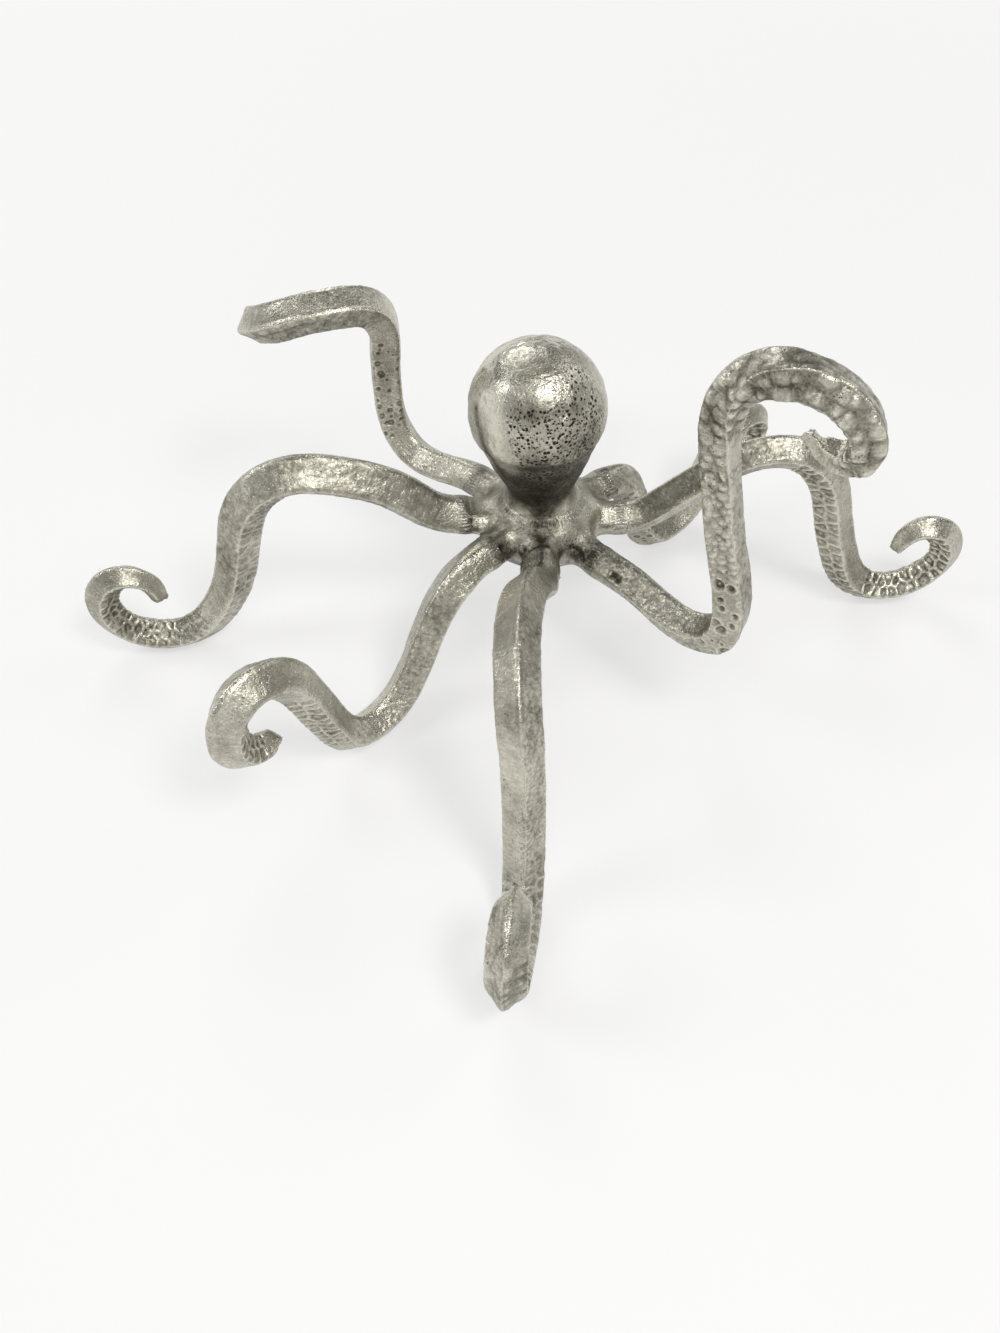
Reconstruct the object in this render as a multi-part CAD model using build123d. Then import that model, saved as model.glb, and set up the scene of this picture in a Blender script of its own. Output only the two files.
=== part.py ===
from build123d import *

from collections import namedtuple
import os

# Octopus ornament, cast and welded aluminium.
# Millimetres. The origin is on the floor, under the middle of the whole outline.
# X points to the viewer's right, Y away from the viewer, Z up.
# The sizes below are taken from the axis of the hub, and the last step moves
# every piece so that the middle of the outline comes to the origin.

# Hub: the flat boss that carries the head and all eight arms
hub_height = 64.0
hub_thickness = 24.0
hub_radius = 27.0
hub_round = 5.4
stub_reach = 36.0
stub_buried = 8.0
stub_girth = 16.0

# Head: a pear-shaped casting on a short round foot, leaning a little to one side
head_top = 163.0
head_radius = 31.0
head_lean = 3.5
neck_radius = 16.0
neck_height = 9.0
foot_radius = 17.5
foot_height = 3.0
neck_waist_share = 0.80
flank_out_share = 0.47
flank_up_share = 0.45
shoulder_drop_share = 0.36
shoulder_radius_share = 0.932
foot_flare_shares = (-0.6, 1)

# Welds: one bead between each stub and its arm, and one round the foot of the head
bead_width = 4.0
bead_middle_share = 0.5
bead_swell_share = 0.08
foot_bead_width = 3.2
foot_bead_height = 3.4
foot_bead_round_share = 0.8

# Arms: square bars with softened edges, drawn down to a blunt chisel tip
corner_share = 0.22
tip_flatness_share = 0.45
floor_flat = 0.5
sections_per_span = 2

# Each arm below has the way it points in degrees, the height of its root above
# the hub's middle, the furthest that its centreline reaches from the axis, the
# climb of its centreline above the floor, and the side of its square bar.
# Each station is a share of the way out from the bead to the reach, a share of
# the climb, a share of the reach to the side, a share of the girth, and the
# bar's roll as a share of a quarter turn (0.5 sets the bar on its edge, and a
# roll that falls from above 1 to 0 twists the bar by more than a quarter turn).

# Left arm: the highest arch, with its curl standing up at the far left
left_azimuth = 187.6
left_root_rise = 7.5
left_reach = 216.0
left_climb = 97.0
left_girth = 18.0
left_station_shares = (
    (0.145, 0.810, 0, 1.02, 0.44),
    (0.315, 0.970, 0, 1.03, 0.44),
    (0.460, 0.985, 0, 1.00, 0.47),
    (0.550, 0.855, 0, 0.95, 0.50),
    (0.595, 0.625, 0, 0.92, 0.52),
    (0.630, 0.375, 0, 0.89, 0.51),
    (0.695, 0.145, 0, 0.86, 0.50),
    (0.795, 0.000, 0, 0.83, 0.50),
    (0.905, 0.005, 0, 0.81, 0.50),
    (0.985, 0.130, 0, 0.78, 0.50),
    (1.000, 0.315, 0, 0.72, 0.50),
    (0.945, 0.430, 0, 0.66, 0.50),
    (0.878, 0.400, 0, 0.55, 0.50),
    (0.853, 0.245, 0, 0.40, 0.50),
)

# Right arm: an arch like the left one, a little lower
right_azimuth = 2.3
right_root_rise = -1.0
right_reach = 207.0
right_climb = 91.0
right_girth = 16.0
right_station_shares = (
    (0.110, 0.700, 0, 0.93, 0.44),
    (0.230, 0.885, 0, 0.90, 0.44),
    (0.350, 1.014, 0, 0.89, 0.44),
    (0.475, 1.014, 0, 0.91, 0.44),
    (0.568, 0.858, 0, 0.94, 0.45),
    (0.620, 0.590, 0, 0.96, 0.45),
    (0.670, 0.305, 0, 0.95, 0.47),
    (0.735, 0.085, 0, 0.93, 0.50),
    (0.830, 0.000, 0, 0.90, 0.50),
    (0.940, 0.065, 0, 0.87, 0.50),
    (1.000, 0.228, 0, 0.84, 0.50),
    (0.979, 0.400, 0, 0.81, 0.50),
    (0.926, 0.458, 0, 0.75, 0.50),
    (0.874, 0.415, 0, 0.65, 0.50),
    (0.857, 0.300, 0, 0.50, 0.50),
)

# Front arm: arches towards the viewer and curls up at the bottom of the view
front_azimuth = 268.0
front_root_rise = 3.0
front_reach = 226.0
front_climb = 96.0
front_girth = 16.0
front_station_shares = (
    (0.140, 0.800, -0.020, 1.00, 0.42),
    (0.300, 0.965, -0.038, 0.98, 0.42),
    (0.440, 1.000, -0.040, 0.96, 0.43),
    (0.540, 0.875, -0.034, 0.96, 0.43),
    (0.590, 0.635, -0.025, 0.93, 0.43),
    (0.635, 0.375, -0.020, 0.92, 0.45),
    (0.690, 0.135, -0.018, 0.91, 0.48),
    (0.780, 0.000, -0.021, 0.89, 0.50),
    (0.890, 0.005, -0.032, 0.88, 0.50),
    (0.985, 0.130, -0.042, 0.88, 0.50),
    (1.000, 0.320, -0.044, 0.87, 0.50),
    (0.970, 0.445, -0.042, 0.86, 0.50),
    (0.920, 0.490, -0.038, 0.82, 0.50),
    (0.872, 0.450, -0.033, 0.72, 0.50),
    (0.850, 0.330, -0.031, 0.56, 0.50),
)

# Front left arm: drops to the floor, rises again and curls over at its end
front_left_azimuth = 225.5
front_left_root_rise = 3.0
front_left_reach = 189.0
front_left_climb = 80.0
front_left_girth = 16.0
front_left_station_shares = (
    (0.075, 0.715, 0, 0.97, 0.44),
    (0.175, 0.610, 0, 0.94, 0.46),
    (0.255, 0.410, 0, 0.92, 0.48),
    (0.335, 0.160, 0, 0.91, 0.50),
    (0.450, 0.000, 0, 0.91, 0.50),
    (0.575, 0.025, 0, 0.93, 0.50),
    (0.665, 0.300, 0, 0.94, 0.50),
    (0.725, 0.630, 0, 0.97, 0.50),
    (0.780, 0.865, 0, 1.00, 0.50),
    (0.850, 0.980, 0, 1.03, 0.50),
    (0.922, 0.990, 0, 1.03, 0.50),
    (0.980, 0.895, 0, 1.02, 0.50),
    (1.000, 0.740, 0, 0.98, 0.50),
    (0.976, 0.595, 0, 0.90, 0.50),
    (0.915, 0.510, 0, 0.77, 0.50),
    (0.852, 0.535, 0, 0.54, 0.50),
)

# Front right arm: stands up beside the head and hooks over to the front
front_right_azimuth = 315.0
front_right_root_rise = -2.0
front_right_reach = 140.0
front_right_climb = 194.0
front_right_girth = 16.0
front_right_station_shares = (
    (0.210, 0.270, 0, 0.96, 1.38),
    (0.480, 0.250, 0, 0.94, 1.30),
    (0.685, 0.300, 0, 0.93, 1.24),
    (0.715, 0.435, 0, 0.91, 1.20),
    (0.628, 0.580, 0, 0.88, 1.18),
    (0.558, 0.715, 0.002, 0.87, 1.18),
    (0.502, 0.840, 0.008, 0.87, 1.10),
    (0.528, 0.935, 0.017, 0.90, 0.80),
    (0.624, 0.990, 0.043, 0.95, 0.34),
    (0.780, 1.000, 0.090, 0.97, 0.05),
    (0.922, 0.965, 0.134, 0.94, 0.00),
    (0.995, 0.908, 0.154, 0.89, 0.00),
    (0.988, 0.858, 0.153, 0.81, 0.00),
    (0.915, 0.842, 0.134, 0.60, 0.00),
    (0.806, 0.882, 0.103, 0.28, 0.00),
)

# Back left arm: stands up behind the head and hooks over to the left
back_left_azimuth = 143.0
back_left_root_rise = 3.5
back_left_reach = 153.0
back_left_climb = 143.0
back_left_girth = 15.5
back_left_station_shares = (
    (0.180, 0.385, 0, 0.95, 0.47),
    (0.355, 0.388, 0, 0.92, 0.49),
    (0.456, 0.475, 0, 0.92, 0.49),
    (0.484, 0.620, 0, 0.94, 0.49),
    (0.481, 0.765, 0, 0.95, 0.49),
    (0.470, 0.892, 0.008, 0.95, 0.49),
    (0.480, 0.974, 0.055, 0.96, 0.49),
    (0.535, 1.012, 0.150, 0.97, 0.49),
    (0.640, 0.999, 0.235, 0.96, 0.49),
    (0.765, 0.950, 0.270, 0.95, 0.49),
    (0.880, 0.897, 0.250, 0.91, 0.49),
    (0.955, 0.840, 0.185, 0.85, 0.49),
    (0.978, 0.800, 0.110, 0.76, 0.49),
    (0.925, 0.800, 0.038, 0.60, 0.49),
    (0.845, 0.830, 0.000, 0.42, 0.49),
)

# Back right arm: drops to the floor behind, with a small curl
back_right_azimuth = 37.0
back_right_root_rise = 0.5
back_right_reach = 153.0
back_right_climb = 48.0
back_right_girth = 16.0
back_right_station_shares = (
    (0.085, 1.085, 0, 1.00, 0.44),
    (0.165, 0.800, 0, 0.97, 0.46),
    (0.235, 0.370, 0, 0.94, 0.50),
    (0.335, 0.020, 0, 0.94, 0.50),
    (0.480, 0.000, 0, 0.94, 0.50),
    (0.605, 0.245, 0, 0.94, 0.50),
    (0.690, 0.680, 0, 0.88, 0.50),
    (0.795, 1.000, 0, 0.82, 0.50),
    (0.910, 1.000, 0, 0.75, 0.50),
    (0.982, 0.815, 0, 0.68, 0.50),
    (0.955, 0.630, 0, 0.58, 0.50),
    (0.865, 0.620, 0, 0.44, 0.50),
)

# Back arm: drops to the floor behind the head, with a small curl
back_azimuth = 90.0
back_root_rise = 0.5
back_reach = 142.0
back_climb = 39.0
back_girth = 15.5
back_station_shares = (
    (0.115, 1.300, 0, 1.00, 0.44),
    (0.215, 0.960, 0, 0.97, 0.46),
    (0.300, 0.430, 0, 0.97, 0.50),
    (0.410, 0.040, 0, 0.94, 0.50),
    (0.540, 0.000, 0, 0.91, 0.50),
    (0.650, 0.330, 0, 0.88, 0.50),
    (0.725, 0.760, 0, 0.84, 0.50),
    (0.830, 1.000, 0, 0.80, 0.50),
    (0.955, 0.910, 0, 0.76, 0.50),
    (1.000, 0.620, 0, 0.70, 0.50),
    (0.930, 0.430, 0, 0.58, 0.50),
    (0.845, 0.540, 0, 0.44, 0.50),
)

Arm = namedtuple("Arm", "azimuth root_rise reach climb girth station_shares")
arms = {
    "left": Arm(
        left_azimuth, left_root_rise, left_reach,
        left_climb, left_girth, left_station_shares,
    ),
    "right": Arm(
        right_azimuth, right_root_rise, right_reach,
        right_climb, right_girth, right_station_shares,
    ),
    "front": Arm(
        front_azimuth, front_root_rise, front_reach,
        front_climb, front_girth, front_station_shares,
    ),
    "front_left": Arm(
        front_left_azimuth, front_left_root_rise, front_left_reach,
        front_left_climb, front_left_girth, front_left_station_shares,
    ),
    "front_right": Arm(
        front_right_azimuth, front_right_root_rise, front_right_reach,
        front_right_climb, front_right_girth, front_right_station_shares,
    ),
    "back_left": Arm(
        back_left_azimuth, back_left_root_rise, back_left_reach,
        back_left_climb, back_left_girth, back_left_station_shares,
    ),
    "back_right": Arm(
        back_right_azimuth, back_right_root_rise, back_right_reach,
        back_right_climb, back_right_girth, back_right_station_shares,
    ),
    "back": Arm(
        back_azimuth, back_root_rise, back_reach,
        back_climb, back_girth, back_station_shares,
    ),
}

quarter_turn = 90.0
up = Vector(0, 0, 1)
standing = (Align.CENTER, Align.CENTER, Align.MIN)
hanging = (Align.CENTER, Align.CENTER, Align.MAX)
seat_height = hub_height + hub_thickness / 2


def outward(azimuth):
    """Unit vector from the hub's axis along an arm."""
    return Vector(1, 0, 0).rotate(Axis.Z, azimuth)


def sideways(azimuth):
    """Unit vector across an arm, to the left of somebody looking outwards."""
    return Vector(0, 1, 0).rotate(Axis.Z, azimuth)


def bar_face(centre, side, along, girth, roll_share, flatness_share=1.0):
    """One slice of an arm: a square with softened corners, set square to the arm."""
    plane = Plane(origin=centre, x_dir=side, z_dir=along)
    outline = RectangleRounded(
        girth,
        girth * flatness_share,
        girth * flatness_share * corner_share,
        rotation=quarter_turn * roll_share,
    )
    return plane * outline


def corner_reach(girth):
    """How far a corner of the slice lies from its middle."""
    radius = girth * corner_share
    return (girth / 2 - radius) * 2**0.5 + radius


def root_point(arm, distance):
    """A point straight out from the hub at the height of the arm's root."""
    return outward(arm.azimuth) * distance + up * (hub_height + arm.root_rise)


def floor_girth(arm):
    """The bar's girth where the arm lies on the floor, or all of it if it never does."""
    lying = [row[3] for row in arm.station_shares if row[1] == 0]
    return arm.girth * min(lying, default=1)


def root_roll_share(arm):
    return arm.station_shares[0][4]


def stations(arm):
    """The points of the arm's centreline, each with its girth and roll share."""
    start = stub_reach + bead_width
    lowest = corner_reach(floor_girth(arm)) - floor_flat
    rows = [(root_point(arm, start), arm.girth, root_roll_share(arm))]
    for out_share, up_share, side_share, girth_share, roll_share in arm.station_shares:
        point = outward(arm.azimuth) * (start + out_share * (arm.reach - start))
        point += sideways(arm.azimuth) * (side_share * arm.reach)
        point += up * (lowest + up_share * arm.climb)
        rows.append((point, arm.girth * girth_share, roll_share))
    return rows


def tip_direction(points):
    """Where a curl points at its tip: on round the circle through its last three points."""
    run_before = (points[-2] - points[-3]).normalized()
    last_run = (points[-1] - points[-2]).normalized()
    middle = (run_before + last_run).normalized()
    return last_run * (2 * middle.dot(last_run)) - middle


def make_arm(arm):
    """Loft the bar along its centreline, then trim it at its root and at the floor."""
    rows = stations(arm)
    points = [row[0] for row in rows]
    path = Spline(
        *points,
        tangents=(outward(arm.azimuth), tip_direction(points)),
        tangent_scalars=(1, 1),
    )
    chords = [0.0]
    for before, after in zip(points, points[1:]):
        chords.append(chords[-1] + (after - before).length)
    faces = []
    side = sideways(arm.azimuth)
    for index in range(len(rows) - 1):
        for step in range(sections_per_span):
            mix = step / sections_per_span
            place = (chords[index] + mix * (chords[index + 1] - chords[index])) / chords[-1]
            along = path % place
            side = (side - along * side.dot(along)).normalized()
            girth = rows[index][1] * (1 - mix) + rows[index + 1][1] * mix
            roll = rows[index][2] * (1 - mix) + rows[index + 1][2] * mix
            faces.append(bar_face(path @ place, side, along, girth, roll))
    along = path % 1
    side = (side - along * side.dot(along)).normalized()
    faces.append(bar_face(path @ 1, side, along, rows[-1][1], rows[-1][2], tip_flatness_share))
    bar = loft(faces)
    block = 2 * (arm.reach + arm.climb)
    below = Box(block, block, block, align=hanging)
    root = Plane(points[0], x_dir=sideways(arm.azimuth), z_dir=outward(arm.azimuth))
    behind = root * Box(block, block, block, align=hanging)
    return bar - below - behind


def make_bead(arm):
    """Filler metal between a stub and its arm, a little proud of both."""
    side = sideways(arm.azimuth)
    along = outward(arm.azimuth)
    faces = []
    for share, swell in ((0, 0), (bead_middle_share, bead_swell_share), (1, 0)):
        centre = root_point(arm, stub_reach + share * bead_width)
        faces.append(bar_face(centre, side, along, arm.girth * (1 + swell), root_roll_share(arm)))
    return loft(faces)


def make_stub(arm):
    """The short arm root that is cast with the hub."""
    side = sideways(arm.azimuth)
    along = outward(arm.azimuth)
    inner = outward(arm.azimuth) * stub_buried + up * hub_height
    faces = [
        bar_face(inner, side, along, stub_girth, root_roll_share(arm)),
        bar_face(root_point(arm, stub_reach), side, along, arm.girth, root_roll_share(arm)),
    ]
    return loft(faces)


def make_hub():
    """A round boss with eight stubs and a flat seat for the head on top."""
    boss = Cylinder(hub_radius, hub_thickness)
    boss = fillet(boss.edges().filter_by(GeomType.CIRCLE), hub_round)
    hub = Pos(0, 0, hub_height) * boss
    for arm in arms.values():
        hub += make_stub(arm)
    above = Pos(0, 0, seat_height) * Cylinder(2 * stub_reach, hub_thickness, align=standing)
    return hub - above


def make_head():
    """The pear, leaned about its seat and cut off square where its foot starts."""
    ball_centre = head_top - head_radius
    foot_top = seat_height + foot_height
    neck = foot_top + neck_height
    shoulder = ball_centre - head_radius * shoulder_drop_share
    shoulder_radius = head_radius * shoulder_radius_share
    outline = Line((0, seat_height), (foot_radius, seat_height))
    outline += Spline(
        (foot_radius, seat_height),
        (neck_radius, foot_top + neck_height * neck_waist_share),
        (
            neck_radius + (shoulder_radius - neck_radius) * flank_out_share,
            neck + (shoulder - neck) * flank_up_share,
        ),
        (shoulder_radius, shoulder),
        (head_radius, ball_centre),
        tangents=(foot_flare_shares, (0, 1)),
    )
    outline += RadiusArc((head_radius, ball_centre), (0, head_top), -head_radius)
    outline += Line((0, head_top), (0, seat_height))
    pear = revolve(Plane.XZ * make_face(outline), Axis.Z)
    pear = pear.rotate(Axis((0, 0, seat_height), (0, 1, 0)), -head_lean)
    under = Pos(0, 0, foot_top) * Cylinder(head_radius, head_top, align=hanging)
    foot = Pos(0, 0, seat_height) * Cylinder(foot_radius, foot_height, align=standing)
    return pear - under + foot


def make_foot_bead():
    """The bead that joins the head's foot to the hub's seat."""
    ring = Cylinder(foot_radius + foot_bead_width, foot_bead_height, align=standing)
    ring = fillet(ring.edges().group_by(Axis.Z)[-1], foot_bead_width * foot_bead_round_share)
    ring -= Cylinder(foot_radius, foot_bead_height, align=standing)
    return Pos(0, 0, seat_height) * ring


def floor_middle(shapes):
    """The point of the floor under the middle of the whole outline."""
    boxes = [shape.bounding_box() for shape in shapes]
    low = Vector(min(box.min.X for box in boxes), min(box.min.Y for box in boxes))
    high = Vector(max(box.max.X for box in boxes), max(box.max.Y for box in boxes))
    return (low + high) / 2


nodes = {
    "hub": make_hub(),
    "head": make_head(),
    "weld_head": make_foot_bead(),
}
for name, arm in arms.items():
    nodes["arm_" + name] = make_arm(arm)
    nodes["weld_" + name] = make_bead(arm)

os.makedirs("parts", exist_ok=True)
to_origin = Pos(-floor_middle(nodes.values()))
for name, shape in nodes.items():
    placed = to_origin * shape
    export_step(placed, "parts/" + name + ".step")
    print(name, round(placed.volume), "mm3")
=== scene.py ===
# %% [markdown]
# # A cast aluminium octopus
# The ornament is ten rough sand castings that are welded together and brushed bright.
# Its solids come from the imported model, at their real size. What is left for Blender
# is the skin: the lumps and grain that sand leaves, the rows of suckers, the weld
# metal, and a finish that is bright on the crests and dark in the hollows.
# Everything is in metres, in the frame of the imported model.

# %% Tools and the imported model
import math

import bmesh
import bpy
import numpy as np
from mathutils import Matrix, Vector
from mathutils.bvhtree import BVHTree
from mathutils.kdtree import KDTree


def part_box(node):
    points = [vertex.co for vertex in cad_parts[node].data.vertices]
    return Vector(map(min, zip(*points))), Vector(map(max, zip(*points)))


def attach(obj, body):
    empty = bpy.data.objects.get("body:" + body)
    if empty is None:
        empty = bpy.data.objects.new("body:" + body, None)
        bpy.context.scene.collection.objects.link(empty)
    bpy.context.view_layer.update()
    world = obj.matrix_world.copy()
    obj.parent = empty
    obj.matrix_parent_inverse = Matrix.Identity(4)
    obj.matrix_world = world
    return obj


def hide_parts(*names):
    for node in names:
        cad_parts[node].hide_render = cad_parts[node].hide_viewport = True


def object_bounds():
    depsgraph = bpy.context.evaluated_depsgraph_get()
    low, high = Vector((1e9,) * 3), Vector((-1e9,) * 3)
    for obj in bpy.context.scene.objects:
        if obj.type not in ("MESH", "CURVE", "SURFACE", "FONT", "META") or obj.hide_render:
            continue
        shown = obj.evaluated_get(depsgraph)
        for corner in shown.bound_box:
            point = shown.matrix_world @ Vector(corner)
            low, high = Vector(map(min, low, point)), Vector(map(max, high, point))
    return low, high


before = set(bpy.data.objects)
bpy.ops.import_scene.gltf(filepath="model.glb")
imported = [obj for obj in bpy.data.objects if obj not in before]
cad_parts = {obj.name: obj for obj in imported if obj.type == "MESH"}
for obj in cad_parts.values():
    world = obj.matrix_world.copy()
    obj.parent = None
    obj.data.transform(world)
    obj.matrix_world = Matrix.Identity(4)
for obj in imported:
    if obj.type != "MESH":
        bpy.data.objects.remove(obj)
cad_low, cad_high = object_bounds()
MM = 0.001
ROOT = "root"
ARMS = ("left", "right", "front", "front_left", "front_right", "back_left", "back_right", "back")
cad_size = [round(v / MM) for v in cad_high - cad_low]
print("packed model:", len(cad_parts), "nodes,", cad_size, "mm")

# %% [markdown]
# ## Where things are
# The arms point outwards from one upright line, the axis of the hub. The bead round
# the head's foot is a ring about that line, so the middle of its box gives the axis.
# Reading it from the frame keeps every later step right if the model changes.

# %% The axis of the hub
ring_low, ring_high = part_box("weld_head")
axis = (ring_low + ring_high) / 2
axis.z = 0
print("hub axis at", [round(v / MM, 1) for v in axis[:2]], "mm")

# %% [markdown]
# ## An even skin to work on
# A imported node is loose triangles, long on flat stretches and tiny at the fillets.
# That is fine for its shape, but detail needs an even mesh. So a copy is merged into
# one skin, and a voxel Remesh gives it quads of one size. Displace modifiers with
# cloud textures then press in the lumps of the mould and the grain of the sand.
# Clouds are made by a formula, so no picture is needed, and they follow the object.

# %% A merged copy of a node
MERGE = 0.002 * MM


def merged_copy(nodes, name):
    """A new object with the shape of one or more nodes, their loose triangles joined."""
    mesh = bpy.data.meshes.new(name)
    work = bmesh.new()
    for node in nodes:
        work.from_mesh(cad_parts[node].data)
    bmesh.ops.remove_doubles(work, verts=work.verts, dist=MERGE)
    work.to_mesh(mesh)
    work.free()
    piece = bpy.data.objects.new(name, mesh)
    bpy.context.scene.collection.objects.link(piece)
    return piece


# %% Modifiers that make the sand-cast skin
SMOOTHING = 0.5
SAND_SIZES = (("lumps", 9 * MM), ("hammered", 3.6 * MM), ("grain", 1.5 * MM))


def press_sand(piece, name, size, depth):
    """A Displace modifier that moves the skin in and out by half the depth."""
    texture = bpy.data.textures.new(name, "CLOUDS")
    texture.noise_scale = size
    texture.noise_depth = 2
    press = piece.modifiers.new(name, "DISPLACE")
    press.texture = texture
    press.texture_coords = "LOCAL"
    press.strength = depth


def even_out(piece, voxel):
    even = piece.modifiers.new("even", "REMESH")
    even.mode = "VOXEL"
    even.voxel_size = voxel


def soften(piece, rounds):
    melt = piece.modifiers.new("melt", "SMOOTH")
    melt.factor = SMOOTHING
    melt.iterations = rounds
    return melt


# %% Applying the modifiers
def modified(piece):
    """The piece as its modifiers make it."""
    return piece.evaluated_get(bpy.context.evaluated_depsgraph_get())


def settle(piece):
    """Applies what the modifiers make, so that the next step can move single points."""
    mesh = bpy.data.meshes.new_from_object(modified(piece))
    old = piece.data
    piece.modifiers.clear()
    piece.data = mesh
    bpy.data.meshes.remove(old)
    mesh.name = piece.name
    mesh.shade_smooth()


def cast(piece, voxel, depths, rounds=0):
    """Gives the piece an even mesh with the lumps and grain of a sand casting."""
    even_out(piece, voxel)
    soften(piece, rounds)
    for (name, size), depth in zip(SAND_SIZES, depths):
        press_sand(piece, name, size, depth)
    settle(piece)
    print(piece.name, len(piece.data.polygons), "quads")


# %% [markdown]
# ## Points as arrays
# Sculpting by code means asking each point of the skin where it lies and moving it a
# little along its normal. NumPy does that for all points at once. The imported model
# also sets the room: no point may leave its box or sink below the floor.

# %% Reading and moving the points of a piece
def points_of(mesh):
    spots = np.empty(len(mesh.vertices) * 3)
    mesh.vertices.foreach_get("co", spots)
    return spots.reshape(-1, 3)


def normals_of(mesh):
    normals = np.empty(len(mesh.vertices) * 3)
    mesh.vertex_normals.foreach_get("vector", normals)
    return normals.reshape(-1, 3)


def put_points(mesh, spots):
    kept = np.clip(spots, np.array(cad_low), np.array(cad_high))
    mesh.vertices.foreach_set("co", kept.ravel())
    mesh.update()


def raise_skin(piece, height):
    """Moves every point along its normal."""
    put_points(piece.data, points_of(piece.data) + normals_of(piece.data) * height[:, None])


def put_mask(mesh, name, values):
    """Stores one number per point, which a material reads as an attribute."""
    mask = mesh.attributes.new(name, "FLOAT", "POINT")
    mask.data.foreach_set("value", values.astype(np.float32))


def tree_of(mesh):
    faces = [tuple(face.vertices) for face in mesh.polygons]
    return BVHTree.FromPolygons([vert.co for vert in mesh.vertices], faces)


def ease(x):
    """From 0 to 1 with soft ends."""
    x = np.clip(x, 0, 1)
    return x * x * (3 - 2 * x)


# %% [markdown]
# ## Joints that flow into each other
# On the real ornament the welder melted the stubs, the arms and the head's foot
# together, so nothing at the hub has a sharp edge. The solids keep each bead as a
# plain ring. A guide shows how they would look melted: all the nodes in one mesh,
# remeshed and smoothed until the inner corners fill up. Each piece is then pulled to
# that guide near the hub. A bead keeps a tenth of its height, so it only just shows.

# %% The melted guide
GUIDE_VOXEL = 0.9 * MM
GUIDE_ROUNDS = 130


def melted_guide():
    guide = merged_copy(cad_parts, "guide")
    even_out(guide, GUIDE_VOXEL)
    soften(guide, GUIDE_ROUNDS)
    settle(guide)
    tree = tree_of(guide.data)
    print("guide:", len(guide.data.polygons), "quads")
    bpy.data.objects.remove(guide)
    return tree


guide_tree = melted_guide()

# %% Pulling a piece to the guide
MELT_REACH = 60 * MM
MELT_FADE = 17 * MM
MELT_TOP = 99 * MM
MELT_TOP_FADE = 12 * MM
MELT_GAP = 6 * MM
MELT_GAP_FADE = 2 * MM
LEAST_AGREE = 0.1
AGREE_FADE = 0.4


def melt_in(piece, keep):
    """Pulls the piece to the guide near the hub, and keeps a share of its own height.

    A point stays where it is if the guide there is far off or faces another way."""
    spots = points_of(piece.data)
    normals = normals_of(piece.data)
    out = np.hypot(spots[:, 0] - axis.x, spots[:, 1] - axis.y)
    below = ease((MELT_TOP - spots[:, 2]) / MELT_TOP_FADE)
    weight = ease((MELT_REACH - out) / MELT_FADE) * below
    for number in np.flatnonzero(weight > 0):
        near, facing, _, gap = guide_tree.find_nearest(spots[number])
        agree = float(ease((np.dot(normals[number], facing) - LEAST_AGREE) / AGREE_FADE))
        inner = float(ease((MELT_GAP - gap) / MELT_GAP_FADE))
        over = (Vector(spots[number]) - near).dot(facing)
        target = np.array(near + facing * (keep * over))
        spots[number] += weight[number] * agree * inner * (target - spots[number])
    put_points(piece.data, spots)


# %% [markdown]
# ## Marks one by one
# Lumps, pits and scratches are placed one by one, where the maker and the welder left
# them. A mark is a point or a line in space, with a width, a height, an amount of painted
# shade, which is a painted highlight where it is below zero, and a share of pores. Every
# point of a skin near it is moved by a soft bell shape. The places are counted from the
# hub's axis and the floor.

# %% Marks on a skin
def gap_to_line(spots, line):
    """How far each point is from a line of straight runs."""
    line = np.array(line, float) * MM + np.array(axis)
    if len(line) == 1:
        return np.linalg.norm(spots - line[0], axis=1)
    gaps = []
    for start, end in zip(line[:-1], line[1:]):
        run = end - start
        share = np.clip((spots - start) @ run / (run @ run), 0, 1)
        gaps.append(np.linalg.norm(spots - start - share[:, None] * run, axis=1))
    return np.min(gaps, axis=0)


def bell(gap, width):
    return np.exp(-((gap / width) ** 2))


def mark_up(spots, marks):
    """Adds up the height, the painted shade and highlight, and the pores of all the marks."""
    totals = np.zeros((3, len(spots)))
    for line, width, height, painted_shade_and_highlight, porous in marks:
        shape = bell(gap_to_line(spots, line), width * MM)
        totals += np.outer((height * MM, painted_shade_and_highlight, porous), shape)
    return totals


# %% [markdown]
# ## Walking down an arm
# Suckers sit in rows along an arm that bends in space, so each point needs a place
# along the arm and one across its face. The line of the arm isn't in the frame, but
# it can be felt out: from the root, cast rays sideways to the skin, step to the
# middle of what they hit, turn the way the middle moved, and go on to the tip. The
# same rays tell where the four corners of the square bar are.

# %% Feeling out the middle of an arm
STEP = 1.5 * MM
RAYS = 32
QUARTER = math.pi / 2
# The mean reach from the middle of a soft square to its rim, times this, is its half width.
HALF_SHARE = 0.92
FIRST_STEP = 3 * MM


def slice_reaches(tree, middle, side, over):
    """Where rays from the middle meet the skin all round, or None where one meets nothing."""
    reaches = []
    for ray in range(RAYS):
        turn = 2 * math.pi * ray / RAYS
        way = side * math.cos(turn) + over * math.sin(turn)
        spot, _, _, reach = tree.ray_cast(middle, way)
        if spot is None:
            return None
        reaches.append((spot, reach, turn))
    return reaches


def corner_turn(reaches, last):
    """Where the nearest corner of the bar is, followed from the last slice."""
    fourfold = 0
    for _, reach, turn in reaches:
        fourfold += reach * complex(math.cos(4 * turn), math.sin(4 * turn))
    found = math.atan2(fourfold.imag, fourfold.real) / 4
    return last + (found - last + QUARTER / 2) % QUARTER - QUARTER / 2


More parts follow.
